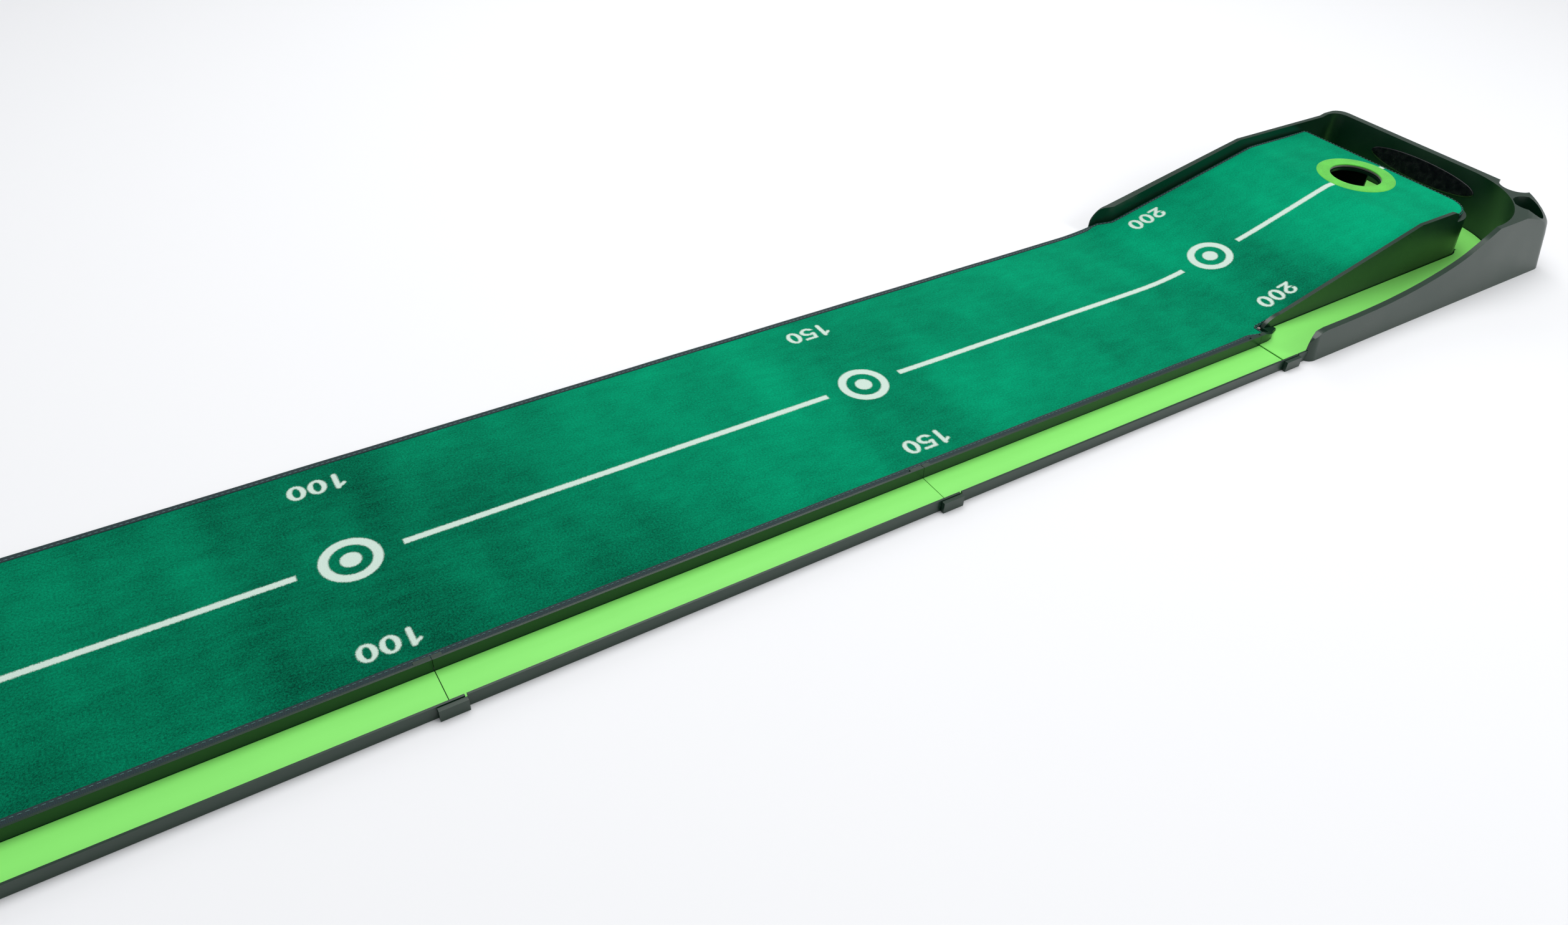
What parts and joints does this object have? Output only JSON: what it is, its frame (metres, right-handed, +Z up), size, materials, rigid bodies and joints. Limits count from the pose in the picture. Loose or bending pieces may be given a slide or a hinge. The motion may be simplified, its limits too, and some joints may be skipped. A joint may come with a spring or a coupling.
{
  "type": "practice putting mat",
  "caption": "Long green velour putting strip climbing a low moulded ramp to a cup hole, with a walled bowl and a clip-together side channel that rolls the ball back.",
  "frame": {"origin": "centre of the footprint on the floor", "axes": "+X from the player towards the hole, +Z up, the return channel on the -Y side"},
  "size_m": [2.4428, 0.3256, 0.076],
  "materials": {
    "moulded_plastic": "satin moulded plastic, dark grey-green",
    "velour": "short green velour pile with printed pale marks",
    "lime_velour": "short lime pile ring round the hole",
    "binding": "folded woven tape with a line of pale stitches",
    "lime_sheet": "smooth lime sheet laid on the lane floor",
    "label": "black oval sticker with a pale arrow icon",
    "peg": "small pale pinkish-grey plastic peg",
    "screw_steel": "zinc-plated steel"
  },
  "bodies": {
    "hole_unit": {"hole_unit_tray": "moulded_plastic", "ramp_deck": "moulded_plastic", "deck_screw_1": "screw_steel", "deck_screw_2": "screw_steel", "deck_screw_3": "screw_steel", "deck_screw_4": "screw_steel", "hole_unit_lane_liner": "lime_sheet", "instruction_label": "label", "mat_corner_peg": "peg"},
    "mat": {"putting_mat": "velour", "hole_ring_felt": "lime_velour", "edge_binding_far": "binding", "edge_binding_near": "binding", "edge_binding_player_end": "binding", "edge_binding_hole_end": "binding"},
    "channel_1": {"channel_section_1": "moulded_plastic", "channel_liner_1": "lime_sheet"},
    "channel_2": {"channel_section_2": "moulded_plastic", "channel_liner_2": "lime_sheet"},
    "channel_3": {"channel_section_3": "moulded_plastic", "channel_liner_3": "lime_sheet"},
    "channel_4": {"channel_section_4": "moulded_plastic", "channel_liner_4": "lime_sheet"},
    "channel_end": {"end_tray": "moulded_plastic", "end_tray_liner": "lime_sheet"}
  },
  "joints": [
    {"name": "mat_lift", "type": "slide", "parent": "hole_unit", "child": "mat", "axis": [0, 0, 1], "range_m": [0, 0.09]},
    {"name": "channel_1_slide", "type": "slide", "parent": "hole_unit", "child": "channel_1", "axis": [-1, 0, 0], "range_m": [0, 0.03]},
    {"name": "channel_2_slide", "type": "slide", "parent": "channel_1", "child": "channel_2", "axis": [-1, 0, 0], "range_m": [0, 0.03]},
    {"name": "channel_3_slide", "type": "slide", "parent": "channel_2", "child": "channel_3", "axis": [-1, 0, 0], "range_m": [0, 0.03]},
    {"name": "channel_4_slide", "type": "slide", "parent": "channel_3", "child": "channel_4", "axis": [-1, 0, 0], "range_m": [0, 0.03]},
    {"name": "end_tray_slide", "type": "slide", "parent": "channel_4", "child": "channel_end", "axis": [-1, 0, 0], "range_m": [0, 0.03]}
  ]
}
